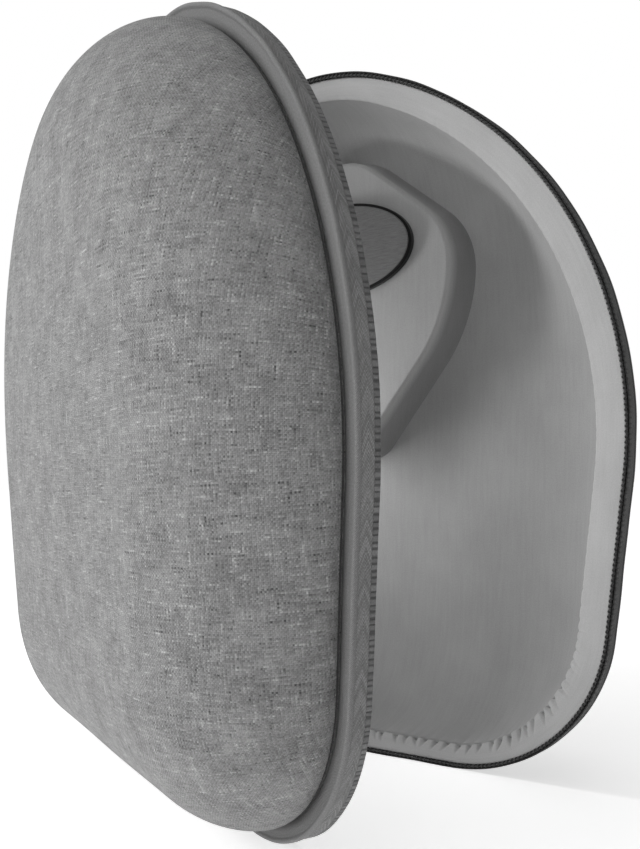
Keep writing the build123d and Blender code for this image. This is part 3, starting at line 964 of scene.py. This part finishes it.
def divider_block(name, offset, paint, slot, node):
    """Soft block with a rounded edge, on the lining. offset is how far it lies within the cover."""
    x, z, nx, nz = divider_edge(1.1)
    flare, edge = divider_flare, divider_edge_radius
    base = lining_level(x + nx * (flare - offset), z + nz * (flare - offset)) - offset + 0.3
    top = face_level + offset
    side_count = 12
    rows = []
    # Side, from the floor to the rounded edge: it flares out where the cover turns onto the floor
    for share in np.linspace(0, 1, side_count)[:-1]:
        spread = flare * (1 - share) ** 3 - offset
        rows.append((x + nx * spread, z + nz * spread, base + (top + edge - base) * share))
    for angle in np.linspace(0, pi / 2, 9):
        inward = edge * (1 - cos(angle)) + offset
        rows.append((x - nx * inward, z - nz * inward, np.full_like(x, top + edge * (1 - sin(angle)))))
    middle = np.array([0.0, divider_middle_z])
    last_x, last_z = rows[-1][:2]
    for share in np.linspace(0, 1, 14)[1:-1]:
        puff = divider_puff * share * share * (3 - 2 * share)
        rows.append((last_x * (1 - share) + middle[0] * share,
                     last_z * (1 - share) + middle[1] * share, np.full_like(x, top - puff)))
    plan_x, plan_z, level = np.array(rows).transpose(1, 0, 2)
    level[side_count:] += drape(plan_x[side_count:] * 1.6, plan_z[side_count:] * 1.6) * 0.22
    rings = on_half("back", plan_x, plan_z, level)
    centre = on_half("back", *middle, top - divider_puff)
    # Underside, sunk a little behind the lining's face
    sunk = 0.35 - offset
    under_x = np.array([plan_x[0], last_x, last_x * 0.5])
    under_z = np.array([plan_z[0], last_z, (last_z + middle[1]) / 2])
    under_level = np.stack([level[0] + 0.05, lining_level(under_x[1], under_z[1]) + sunk,
                            lining_level(under_x[2], under_z[2]) + sunk])
    under = on_half("back", under_x, under_z, under_level)
    bottom = on_half("back", *middle, case_depth - layer_stack + sunk)
    run = np.stack([plan_x + nx * (level - top), plan_z + nz * (level - top)], -1)
    under_uv = np.stack([under_x, under_z], -1)
    piece = closed_bowl(name, (rings, centre), (under, bottom), (run, middle), (under_uv, middle))
    finish_piece(piece, "back", paint, slot, node)


def oval_pad(name, width, height, low, high, edge, paint, slot, node, bulge=0.0):
    """Oval pad on the divider's face, from a low to a high height over it, with a rounded edge."""
    turn = np.linspace(0, 2 * pi, 160, endpoint=False)
    rows = []
    for angle in np.linspace(0, pi / 2, 7):
        rows.append((edge * (1 - cos(angle)), high - edge * (1 - sin(angle)), 0))
    for share in np.linspace(0, 1, 10)[1:-1]:
        rows.append((edge, high + bulge * share * (2 - share), share))
    rows.insert(0, (0.0, low, 0))
    level = face_level - divider_puff
    rings, cloth = [], []
    for inset, up, share in rows:
        x = (width / 2 - inset) * (1 - share) * np.cos(turn)
        z = (height / 2 - inset) * (1 - share) * np.sin(turn)
        rings.append(on_half("back", x, patch_z + z, level - up))
        cloth.append(np.stack([x, z], -1))
    centre = on_half("back", 0.0, patch_z, level - high - bulge)
    under = on_half("back", np.stack([width / 2 * np.cos(turn), width / 4 * np.cos(turn)]),
                    patch_z + np.stack([height / 2 * np.sin(turn), height / 4 * np.sin(turn)]),
                    level - low + 0.02)
    bottom = on_half("back", 0.0, patch_z, level - low + 0.02)
    cloth = np.array(cloth)
    piece = closed_bowl(name, (np.array(rings), centre), (under, bottom),
                        (cloth, np.zeros(2)), (cloth[:2], np.zeros(2)))
    finish_piece(piece, "back", paint, slot, node)


# ---------------- build

for side in ("back", "lid"):
    outer_fabric(side)
    lining(side)
    foam_shell(side)
    rim_band(side)
    zipper_tape(side)
    zipper_coil(side)
    zipper_stops(side)
hinge_cover()
hinge_lining()
divider_block("divider_knit_cover", 0.0, divider_knit_painted_shade, "knit_lining", "divider_cover")
divider_block("divider_foam_core", 1.2, foam_paint, "shell_foam", "divider_foam")
oval_pad("patch_felt_edge", patch_width + 2 * patch_border, patch_height + 2 * patch_border,
         -0.4, 1.7, 0.5, edge_paint, "patch_edge", "loop_patch_backing")
oval_pad("patch_loop_pile", patch_width, patch_height,
         1.72, 2.1, 0.35, pile_paint, "loop_fabric", "loop_patch", 0.25)

for node in ("upper_slider", "upper_pull", "lower_slider", "lower_pull"):
    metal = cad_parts[node]
    metal.data.materials.clear()
    metal.data.materials.append(metal_paint)
    soften = metal.modifiers.new("soften", "BEVEL")
    soften.width = 0.12 * MM
    soften.segments = 2
    soften.limit_method = "ANGLE"


# ---------------- stage

def area_light(name, place, target, size, power):
    """Rectangular lamp that points at a target and isn't seen itself. Lengths are in metres."""
    data = bpy.data.lights.new(name, "AREA")
    data.shape = "RECTANGLE"
    data.size, data.size_y = size
    data.energy = power
    lamp = bpy.data.objects.new(name, data)
    lamp.visible_camera = False
    lamp.location = place
    lamp.rotation_euler = (Vector(target) - Vector(place)).to_track_quat("-Z", "Y").to_euler()
    bpy.context.scene.collection.objects.link(lamp)
    return lamp


def make_stage():
    """Pale floor, the key light, a small lamp for the inside, and the sky."""
    reach = 6
    mesh = bpy.data.meshes.new("floor")
    corners = [(-reach, -reach, 0), (reach, -reach, 0), (reach, reach, 0), (-reach, reach, 0)]
    mesh.from_pydata(corners, [], [(0, 1, 2, 3)])
    floor = bpy.data.objects.new("floor", mesh)
    bpy.context.scene.collection.objects.link(floor)
    paint = Paint("pale_floor", 0.7, 0.2)
    paint.colour(paint.grey(paint.between(paint.noise(paint.place(), 0.004, 2.0), 0.3, 0.7, 0.86, 0.9)))
    paint.shader.inputs["Emission Color"].default_value = white
    paint.shader.inputs["Emission Strength"].default_value = 0.6
    mesh.materials.append(paint.material)
    area_light("key", place=(-0.8, -1.03, 0.6), target=(-0.05, -0.02, 0.1), size=(0.6, 0.6), power=6.0)
    # A small strip lamp stands between the open halves, near the hinge, and lights the inside
    inside = area_light("inside", place=(-0.062, -0.019, 0.112), target=(0.1, 0.02, 0.1),
                        size=(0.016, 0.09), power=0.062)
    inside.data.spread = radians(120)
    world = bpy.context.scene.world or bpy.data.worlds.new("studio")
    bpy.context.scene.world = world
    world.use_nodes = True
    paint_sky(world.node_tree)


def paint_sky(tree):
    """Soft sky: it lights brightly from the upper left and dimly from the right, and looks plain white."""
    link = tree.links.new
    backdrop = tree.nodes["Background"]
    where = tree.nodes.new("ShaderNodeTexCoord")
    side = tree.nodes.new("ShaderNodeVectorMath")
    side.operation = "DOT_PRODUCT"
    side.inputs[1].default_value = (-0.7, -0.45, 0.55)
    link(where.outputs["Generated"], side.inputs[0])
    glow = tree.nodes.new("ShaderNodeMapRange")
    glow.interpolation_type = "SMOOTHSTEP"
    for index, value in enumerate((-0.15, 1.0, 0.01, 1.05), 1):
        glow.inputs[index].default_value = value
    link(side.outputs["Value"], glow.inputs[0])
    seen = tree.nodes.new("ShaderNodeLightPath")
    brightest = tree.nodes.new("ShaderNodeMath")
    brightest.operation = "MAXIMUM"
    link(glow.outputs[0], brightest.inputs[0])
    link(seen.outputs["Is Camera Ray"], brightest.inputs[1])
    link(brightest.outputs[0], backdrop.inputs["Strength"])
    backdrop.inputs["Color"].default_value = white


def make_camera():
    """Camera at the viewing angle, shifted up to frame the case."""
    data = bpy.data.cameras.new("camera")
    data.lens = camera_lens
    data.sensor_width = 36.0
    data.shift_y = camera_shift_up
    data.clip_start = 0.01
    camera = bpy.data.objects.new("camera", data)
    camera.matrix_world = (Matrix.Translation(Vector(camera_place) * MM)
                           @ Matrix.Rotation(camera_heading, 4, "Z") @ Matrix.Rotation(-camera_tilt, 4, "X")
                           @ Matrix.Rotation(camera_roll, 4, "Y") @ Matrix.Rotation(pi / 2, 4, "X"))
    bpy.context.scene.collection.objects.link(camera)
    bpy.context.scene.camera = camera


make_stage()
make_camera()
bpy.context.scene.view_settings.view_transform = "Standard"
